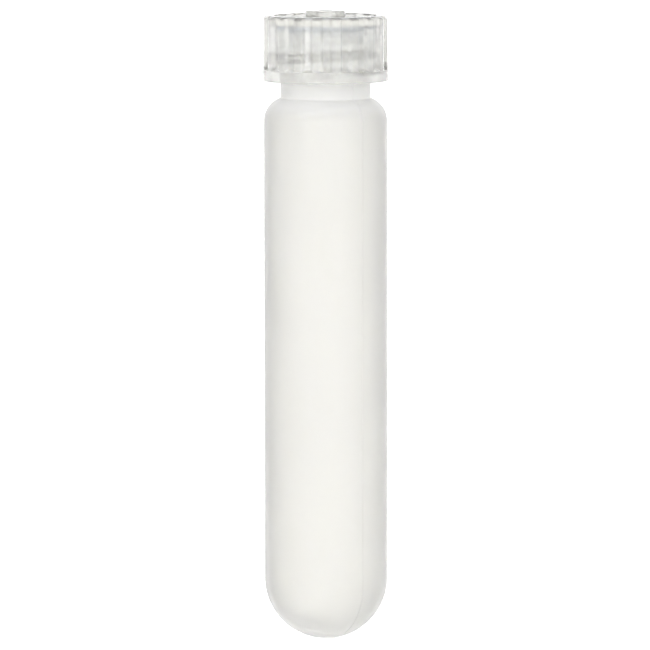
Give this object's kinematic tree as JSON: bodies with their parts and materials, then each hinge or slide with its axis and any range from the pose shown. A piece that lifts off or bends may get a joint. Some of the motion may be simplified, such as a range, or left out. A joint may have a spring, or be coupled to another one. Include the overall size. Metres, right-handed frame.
{
  "type": "test tube",
  "caption": "Round-bottom plastic test tube with a rounded shoulder, a threaded neck and a ribbed screw cap with a centre hub.",
  "frame": {"origin": "lowest point of the round bottom, on the axis of the tube", "axes": "+Z along the axis from the bottom to the cap, -Y to the front of the tube, which is 37 degrees clockwise from a mould parting line seen from above"},
  "size_m": [0.0164, 0.0164, 0.0821],
  "materials": {
    "frosted_polypropylene": "translucent, softly frosted moulding",
    "natural_polypropylene": "translucent, smooth moulding",
    "silicone_seal": "translucent, satin"
  },
  "bodies": {
    "tube": {"tube_body": "frosted_polypropylene"},
    "seal": {"seal_ring": "silicone_seal"},
    "cap": {"screw_cap": "natural_polypropylene"}
  },
  "joints": [
    {"name": "cap_lift", "type": "slide", "parent": "tube", "child": "seal", "axis": [0, 0, 1], "range_m": [0, 0.0126]},
    {"name": "cap_turn", "type": "hinge", "parent": "seal", "child": "cap", "pos_m": [0, 0, 0.08], "axis": [0, 0, 1], "range_deg": [0, 2162]}
  ],
  "couplings": [
    {"joint": "cap_turn", "follows": "cap_lift", "rad_per_m": 2992}
  ]
}
